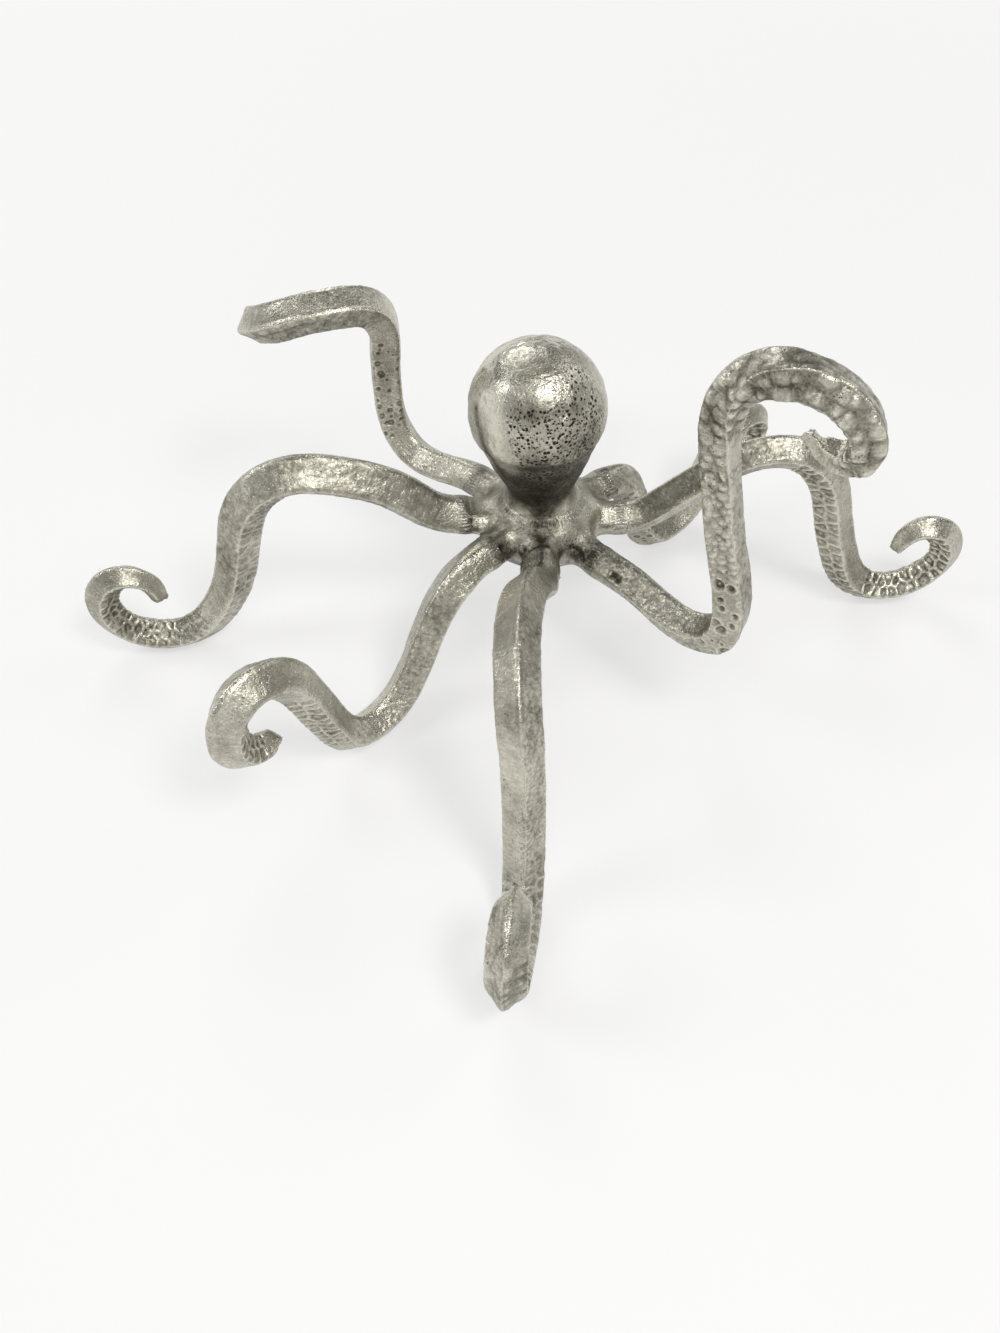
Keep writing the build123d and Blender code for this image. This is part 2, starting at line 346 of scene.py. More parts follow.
# %% Stepping from the root to the tip
def walk(tree, start, ahead):
    """Slices from root to tip: middle, way ahead, side, over, corner turn, half width."""
    slices = []
    side = Vector((0, 0, 1)).cross(ahead)
    middle = start
    corner = 0.0
    room = STEP
    while room >= STEP:
        side = (side - ahead * side.dot(ahead)).normalized()
        over = ahead.cross(side)
        reaches = slice_reaches(tree, middle, side, over)
        if reaches is None:
            break
        middle = sum((spot for spot, _, _ in reaches), Vector()) / RAYS
        corner = corner_turn(reaches, corner)
        half = sum(reach for _, reach, _ in reaches) / RAYS * HALF_SHARE
        slices.append((middle.copy(), ahead.copy(), side.copy(), over.copy(), corner, half))
        if len(slices) > 2:
            ahead = (middle - slices[-3][0]).normalized()
        room = tree.ray_cast(middle, ahead)[3] or 0
        middle = middle + ahead * STEP
    return slices


def arm_start(name):
    """The middle of the arm's bead and the way that the arm leaves the hub."""
    low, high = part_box("weld_" + name)
    bead = (low + high) / 2
    ahead = bead - axis
    ahead.z = 0
    ahead.normalize()
    return bead + ahead * FIRST_STEP, ahead


# %% [markdown]
# ## Places along and across an arm
# With the slices known, every point of the skin gets four numbers: how far along the
# arm it is, which of the four faces it is on, how far it is from the middle of that
# face, and the half width of the bar there. Faces are numbered round the bar: 0 and 1
# lie on the upper side of an arm that runs level, 2 and 3 on the lower.

# %% Giving every point its place on the arm
def places(spots, slices):
    middles = np.array([cut[0] for cut in slices])
    tree = KDTree(len(middles))
    for number, middle in enumerate(middles):
        tree.insert(middle, number)
    tree.balance()
    nearest = np.array([tree.find(spot)[1] for spot in spots])
    runs = np.linalg.norm(np.diff(middles, axis=0), axis=1)
    lengths = np.concatenate([[0], np.cumsum(runs)])
    turned = [np.array([cut[k] for cut in slices])[nearest] for k in range(1, 6)]
    ahead, side, over, corner, half = turned
    away = spots - middles[nearest]
    right = (away * side).sum(1)
    high = (away * over).sum(1)
    turn = (np.arctan2(high, right) - corner) % (2 * math.pi)
    face = (turn // QUARTER).astype(int) % 4
    off = turn - face * QUARTER - QUARTER / 2
    return {
        "along": lengths[nearest] + (away * ahead).sum(1),
        "length": lengths[-1],
        "face": face,
        "lateral": np.hypot(right, high) * np.sin(off),
        "half": half,
    }


# %% [markdown]
# ## Suckers
# The maker pressed the suckers into the pattern by hand. On some faces they are
# craters that meet in a net of thin ridges, on others round bumps with painted shade in
# the gaps, single dimples with a raised rim, or only a crumpled skin. Each kind also
# gets painted shade in its pits, its gaps and its creases. They come from one idea:
# scatter centres in staggered rows, and look how far a point is from its nearest and
# its second nearest centre. Where the two are nearly the same, the point is on a
# border, which makes the net.

# %% Centres in staggered rows
ROW_SPREAD = 0.92
SIDE_LOOSE = 0.6
STEP_RANGE = (0.9, 1.12)


def scatter(first, last, pitch, rows, loose, dice):
    """Centres as distance along the arm, share across the face, and a size of their own."""
    centres = []
    along = first
    while along < last:
        for row in range(rows):
            stagger = pitch / 2 * (row % 2)
            middle = ((2 * row + 1) / rows - 1) * ROW_SPREAD
            centres.append((
                along + stagger + dice.uniform(-loose, loose) * pitch,
                middle + dice.uniform(-loose, loose) * SIDE_LOOSE,
                dice.uniform(-0.5, 0.5) * loose * pitch,
            ))
        along += pitch * dice.uniform(*STEP_RANGE)
    return np.array(centres)


def two_nearest(along, share, half, centres):
    """The gaps from every point to its nearest and to its second nearest centre."""
    run = along[:, None] - centres[None, :, 0]
    across = (share[:, None] - centres[None, :, 1]) * half[:, None]
    gaps = np.hypot(run, across) + centres[None, :, 2]
    return np.partition(gaps, 1, axis=1)[:, :2].T


# %% [markdown]
# ## Four kinds of sucker
# Each kind below turns the two gaps into a height, as a share of the zone's depth, and
# an amount of painted shade from 0 to 1. The factors beside the pitch are widths as
# shares of it. They were set against the photo.

# %% The shapes of suckers
def crater(near, second, pitch):
    """A wide pit with a button in it, walled off from the next by a soft crest, with painted
    shade in the pit and less on the button.
    """
    floor = ease((second - near) / (0.60 * pitch))
    button = bell(near, 0.18 * pitch)
    return 0.35 - floor + 0.45 * button, 0.75 * floor * (1 - 0.6 * button)


def bump(near, second, pitch):
    """A round dome, with painted shade in the gaps between it and the next."""
    dome = ease(1.15 - near / (0.58 * pitch))
    return dome - 0.35, 1 - dome


def dimple(near, second, pitch):
    """A small deep pit with a raised rim, and painted shade in the pit."""
    pit = bell(near, 0.20 * pitch)
    rim = bell(near - 0.34 * pitch, 0.12 * pitch)
    return 0.45 * rim - pit, 1.2 * pit


def crumple(near, second, pitch):
    """Low facets with creases between them, and painted shade in the creases."""
    facet = np.clip(1 - near / (0.7 * pitch), 0, 1)
    return facet - 0.4, 0.7 - facet


# Each kind's shape, and how far its centres stray, as a share of the pitch.
SHAPES = {
    "crater": (crater, 0.30),
    "bump": (bump, 0.34),
    "dimple": (dimple, 0.48),
    "crumple": (crumple, 0.45),
}

# %% One zone of suckers
FULL_HALF = 7 * MM
FACE_EDGE = 0.95
EDGE_FADE = 0.2
END_FADE = 1.2


def sucker_zone(place, zone, dice):
    """Heights and painted shade that one zone of suckers adds to the points.

    A zone fades out towards the ridges of the bar, towards its own ends, and where the
    bar is thin."""
    face, first, last, kind, pitch, rows, depth = zone
    shape, loose = SHAPES[kind]
    pitch, depth = pitch * MM, depth * MM
    first, last = first * place["length"], last * place["length"]
    between = (place["along"] > first) & (place["along"] < last)
    here = np.flatnonzero((place["face"] == face) & between)
    along, half = place["along"][here], place["half"][here]
    share = place["lateral"][here] / half
    centres = scatter(first, last, pitch, rows, loose, dice)
    rise, shade = shape(*two_nearest(along, share, half, centres), pitch)
    ends = np.minimum(along - first, last - along)
    fade = ease((FACE_EDGE - abs(share)) / EDGE_FADE) * ease(ends / (END_FADE * pitch))
    fade *= ease(half / FULL_HALF)
    height = np.zeros(len(place["along"]))
    sucker_shade = np.zeros(len(place["along"]))
    height[here] = fade * depth * rise
    sucker_shade[here] = fade * np.clip(shade, 0, 1)
    return height, sucker_shade


# %% [markdown]
# ## Which faces carry suckers
# Each row of this table is one zone: the face, where it starts and ends as a share of
# the arm's length, the kind, the pitch in mm, the rows across, and the depth in mm.
# The lower faces of the high arches carry small craters down to the floor. From there
# the craters move to the faces that look into the curl. The standing front right arm
# is dimpled at its foot, crumpled half way up, and has two rows of bumps on its hook.

# %% The zones of suckers, arm by arm
ARM_SUCKERS = {
    "left": (
        (2, 0.26, 0.68, "crater", 5.0, 2, 0.40),
        (3, 0.28, 0.62, "crater", 4.2, 2, 0.28),
        (0, 0.60, 0.92, "crater", 5.8, 3, 0.55),
        (1, 0.62, 0.95, "crater", 5.8, 3, 0.65),
        (0, 0.03, 0.50, "crumple", 2.6, 6, 0.16),
        (3, 0.03, 0.30, "crumple", 2.4, 6, 0.20),
    ),
    "right": (
        (2, 0.29, 0.74, "crater", 6.0, 2, 0.62),
        (3, 0.29, 0.73, "crater", 6.2, 2, 0.60),
        (1, 0.64, 0.93, "crater", 5.8, 2, 0.95),
        (0, 0.62, 0.93, "crater", 6.0, 2, 0.85),
        (1, 0.03, 0.30, "crumple", 2.6, 6, 0.16),
    ),
    "front": (
        (2, 0.42, 0.70, "crater", 5.4, 2, 0.35),
        (3, 0.42, 0.70, "crater", 5.4, 2, 0.30),
        (0, 0.34, 0.60, "crumple", 2.0, 8, 0.20),
        (0, 0.58, 0.74, "crater", 5.4, 2, 0.35),
        (0, 0.72, 0.94, "crater", 5.6, 2, 0.65),
        (1, 0.60, 0.94, "crater", 5.6, 2, 0.65),
        (3, 0.74, 0.90, "bump", 4.6, 2, 0.40),
        (0, 0.02, 0.36, "crumple", 2.4, 6, 0.16),
        (2, 0.74, 0.96, "crumple", 2.8, 5, 0.35),
    ),
    "front_left": (
        (3, 0.45, 0.67, "crater", 5.0, 2, 0.55),
        (2, 0.45, 0.67, "crater", 5.4, 2, 0.50),
        (3, 0.80, 0.98, "crater", 5.2, 2, 0.70),
        (2, 0.80, 0.98, "crater", 5.2, 2, 0.70),
        (0, 0.02, 0.22, "crumple", 2.4, 6, 0.20),
        (0, 0.20, 0.45, "crumple", 2.0, 8, 0.24),
        (1, 0.55, 0.85, "crumple", 2.6, 6, 0.22),
    ),
    "front_right": (
        (0, 0.02, 0.28, "crumple", 2.2, 6, 0.24),
        (1, 0.02, 0.28, "crumple", 2.2, 6, 0.24),
        (2, 0.02, 0.22, "crumple", 2.2, 6, 0.24),
        (2, 0.21, 0.41, "dimple", 6.6, 2, 0.80),
        (2, 0.37, 0.56, "crumple", 3.4, 4, 0.85),
        (2, 0.52, 0.70, "bump", 5.4, 2, 0.95),
        (2, 0.62, 0.92, "bump", 5.0, 3, 0.40),
        (3, 0.24, 0.56, "crumple", 2.8, 4, 0.20),
        (3, 0.58, 0.97, "bump", 6.6, 2, 1.05),
        (0, 0.60, 0.95, "crater", 6.0, 2, 0.50),
    ),
    "back_left": (
        (2, 0.45, 0.93, "crater", 5.6, 2, 0.45),
        (3, 0.45, 0.93, "bump", 5.6, 2, 0.40),
        (0, 0.20, 0.45, "dimple", 4.0, 3, 0.35),
        (0, 0.50, 0.95, "crumple", 2.8, 5, 0.24),
    ),
    "back_right": (
        (2, 0.46, 0.96, "bump", 5.4, 2, 0.70),
        (3, 0.46, 0.96, "bump", 5.4, 2, 0.70),
        (1, 0.02, 0.40, "crumple", 2.4, 6, 0.24),
        (2, 0.04, 0.40, "dimple", 4.4, 3, 0.30),
    ),
    "back": (
        (2, 0.46, 0.96, "bump", 5.4, 2, 0.70),
        (3, 0.46, 0.96, "bump", 5.4, 2, 0.70),
        (0, 0.02, 0.40, "crumple", 2.6, 6, 0.20),
    ),
}

# %% [markdown]
# ## Marks near the hub and on the head
# The welder left lumps and pits where two arms meet, and a fold of metal lies over the
# root of the front arm. Painted shade darkens the whole hub, the foot of the neck, the
# crotches between the arms, the creases round their roots and the front of the head low
# down, and two painted glints sit at the foot of the neck. The head has two shallow
# bulges with painted highlights on them, a dip with a painted dark reflection between
# them, and a smooth ribbon with a painted sheen down its left side, edged by a line of
# painted shade. Each row gives the points of the mark's line, its width and height in mm,
# its painted shade and how porous it is. Minus values make a dip, a painted highlight,
# or a smoother skin.

# %% The marks, in mm from the hub's axis
HUB_MARKS = (
    # Painted shade at the foot of the neck, under the head.
    (((-5, -17, 98), (5, -16, 99)), 12.5, 0.0, 1.05, 0.1),
    # Painted shade over the whole hub, under the head and among the arm roots.
    (((0, 0, 70),), 34.0, 0.0, 0.46, 0.0),
    # Dips with painted shade in the crotches between the arms.
    (((-34, -21, 70),), 4.5, -0.4, 0.6, 0.1),
    (((-19, -29, 70), (-13, -31, 68)), 4.5, -0.3, 0.75, 0.2),
    (((15, -27, 67), (23, -30, 67)), 5.0, -0.3, 0.8, 0.2),
    (((30, -22, 68), (34, -17, 67)), 4.0, -0.3, 0.55, 0.1),
    (((-4, -34, 76), (4, -36, 76), (12, -34, 73)), 3.5, 0.5, 0.0, 0.0),
    # Lumps with a little painted shade, and one with a painted glint.
    (((-13, -26, 68),), 3.2, 0.9, 0.3, 0.2),
    (((18, -30, 67),), 3.0, 0.9, -0.5, 0.0),
    (((33, -7, 67),), 3.4, 0.7, 0.2, 0.0),
    (((-36, -17, 69),), 3.0, 0.8, 0.3, 0.0),
    # Creases round the arm roots with painted shade in them, and a ridge with a painted
    # highlight.
    (((-20, -28, 72), (-8, -31, 73), (2, -29, 74)), 1.3, -0.9, 0.9, 0.2),
    (((-20, -30, 72), (-8, -34, 74), (3, -32, 75)), 2.0, 0.6, -0.2, 0.0),
    (((14, -25, 69), (17, -26, 68), (19, -30, 66)), 1.3, -0.9, 0.95, 0.3),
    (((22, -29, 67), (25, -27, 68)), 1.1, -0.7, 0.8, 0.3),
    (((28, -24, 68), (31, -19, 66)), 2.2, -0.9, 1.1, 0.2),
    (((-17, -28, 66), (-13, -30, 66), (-12, -32, 63)), 1.2, -0.8, 0.9, 0.2),
    (((-9, -28, 71), (-5, -30, 70)), 1.0, -0.6, 0.7, 0.2),
    (((-33, -13, 75), (-32, -22, 70)), 1.6, -0.6, 0.8, 0.2),
    # A lump and two patches with painted shade, under the neck.
    (((7, -29, 68),), 3.0, 0.5, 0.4, 0.0),
    (((-24, -20, 72),), 9.0, 0.0, 0.35, 0.3),
    (((0, -20, 76),), 8.0, 0.0, 0.45, 0.2),
    # A slot with painted shade in it.
    (((32, -41, 68), (34, -44, 68)), 1.5, -1.5, 1.1, 0.0),
    # The two painted glints at the foot of the neck.
    (((-8.7, -11.9, 81),), 4.5, 0.4, -1.0, 0.1),
    (((9.7, -11.4, 80.5),), 4.5, 0.4, -1.0, 0.1),
    # A groove with painted shade in it, under the neck.
    (((0, -24, 76), (1, -14, 80)), 5.0, -0.3, 0.5, 0.1),
)
RIBBON_TOP = ((3, 8, 163), (-10.9, 6.3, 161), (-20.8, 3.6, 157), (-26.1, -6.1, 150))
RIBBON_SIDE = ((-26.1, -6.1, 150), (-23.0, -19.3, 144), (-20.9, -24.3, 134), (-17.5, -24.0, 118))
RIBBON_EDGE = ((-30.5, -12.4, 141), (-28.7, -17.9, 133.8), (-25.4, -20, 121.7), (-20, -18, 106))
HEAD_MARKS = (
    # Two bulges with painted highlights on them.
    (((-18.7, -15.1, 154.2),), 8.5, 0.55, -0.35, 0.0),
    (((1.0, -18.6, 155.9),), 11.0, 0.55, -0.35, 0.0),
    # A dip with a painted dark reflection in it.
    (((-9.0, -7.0, 161.5), (-3.0, -8.0, 162.0)), 7.0, -0.25, 0.40, 0.1),
    # Dips with painted shade under the bulges.
    (((-10.5, -20.0, 154.0), (-9.0, -27.0, 146.0)), 5.0, -0.35, 0.12, 0.1),
    (((-12, -24.5, 148), (-0.5, -26.0, 148.5), (12, -21.5, 149)), 3.6, -0.25, 0.38, 0.1),
    # A thin groove with painted shade in it.
    (((-10.1, 6.0, 161.5), (-12.5, 4.2, 160.8)), 0.9, -0.45, 1.0, 0.0),
    # The smooth ribbon, with a painted sheen on it.
    (RIBBON_TOP, 6.5, -0.20, -0.8, -0.9),
    (RIBBON_SIDE, 5.5, -0.20, -0.8, -0.9),
    # Painted shade along the ribbon's edge.
    (RIBBON_EDGE, 2.4, -0.25, 0.75, 0.0),
    # Pores on the front of the head, with painted shade that grows towards its foot.
    (((-11.1, -27.9, 142.3), (5.8, -27.4, 141.9), (19, -18.9, 140.2)), 11.0, 0.0, 0.1, 0.9),
    (((-2.3, -30.2, 127.7), (12, -25, 130)), 11.0, 0.0, 0.35, 0.8),
    (((-5, -22, 112), (8, -19, 110)), 16.0, 0.0, 0.55, 0.6),
    (((12, -11, 155),), 9.0, 0.0, 0.0, 0.7),
)

# %% [markdown]
# ## Crests and hollows
# What stands proud is made brighter, partly as brushing wear and partly as a painted
# highlight, and the hollows and sucker pits get painted shade. To find out what stands
# proud, compare the skin with a smoothed copy of itself: where the skin lies outside the
# copy it is a crest, and where it lies inside it is a hollow. The undersides get painted
# shade too.

# %% The wear and painted shade masks
RELIEF = 0.20 * MM
RELIEF_START = 0.02 * MM
FLAT_ROUNDS = 14
UNDER_TILT = 0.9
# How much painted shade the undersides get, and how much of the suckers' painted shade goes into
# the hollows.
UNDER_SHADE = 0.6
SUCKER_SHADE_SHARE = 0.6


def proud_of(piece):
    """How far each point stands out of a smoothed copy of its skin."""
    spots = points_of(piece.data)
    flat = soften(piece, FLAT_ROUNDS)
    smooth = points_of(modified(piece).data)
    piece.modifiers.remove(flat)
    return ((spots - smooth) * normals_of(piece.data)).sum(1)


def wear_and_shade_masks(piece, sucker_shade, painted_shade_and_highlight, porous):
    proud = proud_of(piece)
    hollow = ease((-proud - RELIEF_START) / RELIEF)
    under = ease(-normals_of(piece.data)[:, 2] / UNDER_TILT)
    masks = {
        # Crests: brushing wear and a painted highlight.
        "crest": ease((proud - RELIEF_START) / RELIEF),
        # Painted shade in the hollows and in the suckers' pits and gaps.
        "painted_hollow_shade": np.clip(hollow + SUCKER_SHADE_SHARE * sucker_shade, 0, 1),
        # The marks' painted shade and highlights, with painted shade on the undersides.
        "painted_shade_and_highlight": np.clip(painted_shade_and_highlight + UNDER_SHADE * under, -1, 1),
        "porous": np.clip(porous, -1, 1),
    }
    for name, values in masks.items():
        put_mask(piece.data, name, values)


# %% [markdown]
# ## Sculpting the arms
# An arm is a square bar whose ridges stand a little proud and whose faces sag, as the
# mould left them. The order of the work matters. The root is first pushed into its
# bead, so that no groove shows between the two. Then the line of the arm is felt out,
# its tip is rounded and its root is melted into the hub. Suckers and marks come last,
# because the smoothing before them would wash them away.

# %% Ends that lap over
LAP = 1.3 * MM
LAP_DEPTH = 2.5 * MM
LAP_BACK = 1.2 * MM
LAP_REACH = 20 * MM


def lap_over(piece, name):
    """Pushes the arm's root a little way into its bead."""
    root, ahead = arm_start(name)
    spots = points_of(piece.data)
    depth = (spots - np.array(root - ahead * LAP_BACK)) @ np.array(ahead)
    close = np.linalg.norm(spots - np.array(root), axis=1) < LAP_REACH
    weight = ease((LAP_DEPTH - depth) / LAP_DEPTH) * close
    put_points(piece.data, spots - weight[:, None] * LAP * np.array(ahead))


# %% Rounded tips
TIP_REACH = 8 * MM
TIP_FADE = 5 * MM
TIP_ROUNDS = 40


def round_tip(piece, place):
    """Smooths the last of the arm, so the chisel end turns into a rounded one."""
    tip = piece.vertex_groups.new(name="tip")
    weights = ease((place["along"] - place["length"] + TIP_REACH) / TIP_FADE)
    for number in np.flatnonzero(weights > 0):
        tip.add([int(number)], float(weights[number]), "REPLACE")
    soften(piece, TIP_ROUNDS).vertex_group = "tip"
    spots = points_of(modified(piece).data)
    piece.modifiers.clear()
    piece.vertex_groups.clear()
    put_points(piece.data, spots)


# %% Ridges and faces of the bar
RIDGE_RISE = 0.45 * MM
RIDGE_START = 0.76
RIDGE_FADE = 0.2
FACE_DIP = 0.40 * MM
DIP_WIDTH = 0.8
FREE_FROM = 25 * MM


def bar_relief(place):
    """Heights for ridges that stand proud and faces that sag, clear of the hub."""
    share = abs(place["lateral"]) / place["half"]
    ridge = RIDGE_RISE * ease((share - RIDGE_START) / RIDGE_FADE)
    dip = FACE_DIP * (1 - np.clip(share / DIP_WIDTH, 0, 1) ** 2)
    return ease(place["along"] / FREE_FROM) * (ridge - dip)


# %% Sculpting each arm
ARM_VOXEL = 0.54 * MM
ARM_DEPTHS = (0.50 * MM, 0.16 * MM, 0.10 * MM)
FIRST_SEED = 40
# Sets the brush marks of the four faces apart, in metres.
FACE_APART = 0.05


def put_grain(mesh, place):
    """Stores the place along and across the arm, for marks that run across it."""
    grain = mesh.attributes.new("grain", "FLOAT_VECTOR", "POINT")
    values = np.stack([place["along"], place["lateral"], place["face"] * FACE_APART], axis=1)
    grain.data.foreach_set("vector", values.astype(np.float32).ravel())


def sculpt_arm(name, seed):
    piece = merged_copy(["arm_" + name], "arm_skin_" + name)
    cast(piece, ARM_VOXEL, ARM_DEPTHS)
    lap_over(piece, name)
    slices = walk(tree_of(piece.data), *arm_start(name))
    place = places(points_of(piece.data), slices)
    round_tip(piece, place)
    melt_in(piece, 0)
    height, painted_shade_and_highlight, porous = mark_up(points_of(piece.data), HUB_MARKS)
    # The suckers' painted shade, which goes into the painted shade of the hollows.
    sucker_shade = np.zeros(len(height))
    dice = np.random.default_rng(seed)
    for zone in ARM_SUCKERS[name]:
        more, more_sucker_shade = sucker_zone(place, zone, dice)
        height += more
        sucker_shade = np.maximum(sucker_shade, more_sucker_shade)
    height += bar_relief(place)
    raise_skin(piece, height)
    wear_and_shade_masks(piece, sucker_shade, painted_shade_and_highlight, porous)
    put_grain(piece.data, place)
    print(name, "arm:", len(slices), "slices,", round(place["length"] / MM), "mm long")
    return piece


arm_pieces = {name: sculpt_arm(name, FIRST_SEED + number) for number, name in enumerate(ARMS)}

# %% [markdown]
# ## Head, hub and weld metal
# These are the same casting, so they get the same skin. The hub is knobbly where the
# welder went over it, so its lumps are deeper. A weld bead is laid as overlapping
# drops, and those show as faint ripples round the bar.

# %% The head and the hub
HEAD_VOXEL = 0.55 * MM
HEAD_DEPTHS = (0.9 * MM, 0.35 * MM, 0.16 * MM)
HEAD_ROUNDS = 60
HUB_VOXEL = 0.5 * MM
HUB_DEPTHS = (1.4 * MM, 0.6 * MM, 0.30 * MM)


def mark_wear_and_shade(piece, marks, ripple=0.0):
    """Raises the marks on a skin that has no suckers, and stores its masks."""
    height, painted_shade_and_highlight, porous = mark_up(points_of(piece.data), marks)
    raise_skin(piece, height + ripple)
    wear_and_shade_masks(piece, np.zeros(len(height)), painted_shade_and_highlight, porous)


def sculpt_core(node, voxel, depths, rounds, marks):
    piece = merged_copy([node], node + "_skin")
    cast(piece, voxel, depths, rounds)
    melt_in(piece, 0)
    mark_wear_and_shade(piece, marks)
    return piece


head = sculpt_core("head", HEAD_VOXEL, HEAD_DEPTHS, HEAD_ROUNDS, HEAD_MARKS + HUB_MARKS)
hub = sculpt_core("hub", HUB_VOXEL, HUB_DEPTHS, 0, HUB_MARKS)

# %% Ripples on the beads
RIPPLE = 0.10 * MM
RIPPLE_PITCH = 1.9 * MM
# A bead whose middle lies nearer to the hub's axis than this is the ring under the head.
RING_OFF = 5 * MM


def ripples(spots, low, high):
    """Ripples that run round a bead: the drops of weld metal, one over the other."""
    middle = (low + high) / 2
    away = spots - np.array(middle)
    out = np.array((middle - axis).to_2d())
    if np.hypot(*out) < RING_OFF:
        turn = np.arctan2(away[:, 1], away[:, 0])
        radius = (high.x - low.x) / 2
    else:
        way = out / np.hypot(*out)
        turn = np.arctan2(away[:, 2], away[:, 0] * -way[1] + away[:, 1] * way[0])
        radius = (high.z - low.z) / 2
    count = round(2 * math.pi * radius / RIPPLE_PITCH)
    return RIPPLE * np.cos(count * turn)


# %% The beads
BEAD_KEEP = 0.10
BEAD_VOXEL = 0.42 * MM
BEAD_DEPTHS = (1.0 * MM, 0.5 * MM, 0.30 * MM)
BEAD_HALF = 2 * MM


def widen(piece, name):
    """Makes the bead reach a little way under the skins on both sides of it."""
    low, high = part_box("weld_" + name)
    ahead = np.array(arm_start(name)[1])
    spots = points_of(piece.data)
    depth = (spots - np.array((low + high) / 2)) @ ahead
    put_points(piece.data, spots + np.outer(np.clip(depth / BEAD_HALF, -1, 1) * LAP, ahead))


def sculpt_bead(name):
    piece = merged_copy(["weld_" + name], "weld_skin_" + name)
    cast(piece, BEAD_VOXEL, BEAD_DEPTHS)
    if name in ARMS:
        widen(piece, name)
    melt_in(piece, BEAD_KEEP)
    mark_wear_and_shade(piece, HUB_MARKS, ripples(points_of(piece.data), *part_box("weld_" + name)))
    return piece


beads = {name: sculpt_bead(name) for name in ARMS + ("head",)}

# %% [markdown]
# ## The finish
# Cast aluminium is a metal, so what shows is mostly what it mirrors, blurred by its
# roughness. Three things break that up: a dull brownish patina in patches, pores where
# gas came out of the metal, and a fine grain. Painted shade darkens the hollows, the
# crotches, the creases and the undersides towards the patina colour and to near black,
# and painted highlights brighten the crests, the glints and the bulges. Both metals here
# use them, so they are built once as a node group with named inputs and placed in each
# material. The group gives colour, roughness and a height for the bump.

# %% Node helpers
def socket(group, name, way, kind):
    group.interface.new_socket(name=name, in_out=way, socket_type=kind)


class Wiring:
    """Short ways to place and join nodes in one tree."""

    def __init__(self, tree):
        self.nodes = tree.nodes
        self.links = tree.links

    def add(self, kind, **values):
        node = self.nodes.new(kind)
        for name, value in values.items():
            setattr(node, name, value)
        return node

    def join(self, source, target):
        self.links.new(source, target)

    def noise(self, vector, scale, detail=4.0, rough=0.6):
        node = self.add("ShaderNodeTexNoise")
        node.inputs["Scale"].default_value = scale
        node.inputs["Detail"].default_value = detail
        node.inputs["Roughness"].default_value = rough
        self.join(vector, node.inputs["Vector"])
        return node.outputs["Fac"]

    def cells(self, vector, scale):
        node = self.add("ShaderNodeTexVoronoi")
        node.inputs["Scale"].default_value = scale
        self.join(vector, node.inputs["Vector"])
        return node.outputs["Distance"]

    def spread(self, value, low, high, out_low=0.0, out_high=1.0):
        """Maps a value from one range to another, and stops at the ends."""
        node = self.add("ShaderNodeMapRange")
        limits = {"From Min": low, "From Max": high, "To Min": out_low, "To Max": out_high}
        for name, number in limits.items():
            node.inputs[name].default_value = number
        self.join(value, node.inputs["Value"])
        return node.outputs["Result"]

    def sum(self, operation, first, second):
        """One step of arithmetic on two sockets or numbers."""
        node = self.add("ShaderNodeMath", operation=operation)
        for slot, value in zip(node.inputs, (first, second)):
            if isinstance(value, (int, float)):
                slot.default_value = value
            else:
                self.join(value, slot)
        return node.outputs["Value"]

    def blend(self, share, first, second):
        """A mix of two colours by a share."""
        node = self.add("ShaderNodeMix", data_type="RGBA")
        self.join(share, node.inputs["Factor"])
        slots = [slot for slot in node.inputs if slot.type == "RGBA"]
        for slot, colour in zip(slots, (first, second)):
            if isinstance(colour, tuple):
                slot.default_value = colour
            else:
                self.join(colour, slot)
        return [slot for slot in node.outputs if slot.type == "RGBA"][0]


# %% The tone of the skin
CLOUD_SCALE = 38.0
MOTTLE_SCALE = 230.0
FINE_SCALE = 950.0
# How much each mask darkens the tone: painted shade in the hollows and from the marks, a painted
# highlight with the wear on the crests, and the brush marks.
TONE_GAINS = (("Painted_hollow_shade", 0.55), ("Painted_shade_and_highlight", 0.55), ("Crest", -0.50), ("Brush", -0.20))


def skin_noises(wires, vector):
    """Three sizes of noise: clouds over a whole arm, a mottle, and a fine grain."""
    clouds = wires.noise(vector, CLOUD_SCALE, 5.0, 0.62)
    mottle = wires.noise(vector, MOTTLE_SCALE, 5.0, 0.68)
    fine = wires.noise(vector, FINE_SCALE, 3.0, 0.6)
    return clouds, mottle, fine


def skin_tone(wires, start, noises):
    """From 0 for bright metal to 1 for full patina, with the masks' painted shade and highlights
    in it.
    """
    clouds, mottle, fine = noises
    tone = wires.sum("ADD", start["Dirt"], wires.spread(clouds, 0.36, 0.66, -0.18, 0.26))
    tone = wires.sum("ADD", tone, wires.spread(mottle, 0.36, 0.66, -0.09, 0.12))
    tone = wires.sum("ADD", tone, wires.spread(fine, 0.34, 0.66, -0.10, 0.15))
    for name, gain in TONE_GAINS:
        tone = wires.sum("ADD", tone, wires.sum("MULTIPLY", start[name], gain))
    return wires.spread(tone, 0.0, 1.0)


# %% Pores and holes
GATE_SCALE = 95.0
PORE_SCALE = 760.0
HOLE_SCALE = 520.0


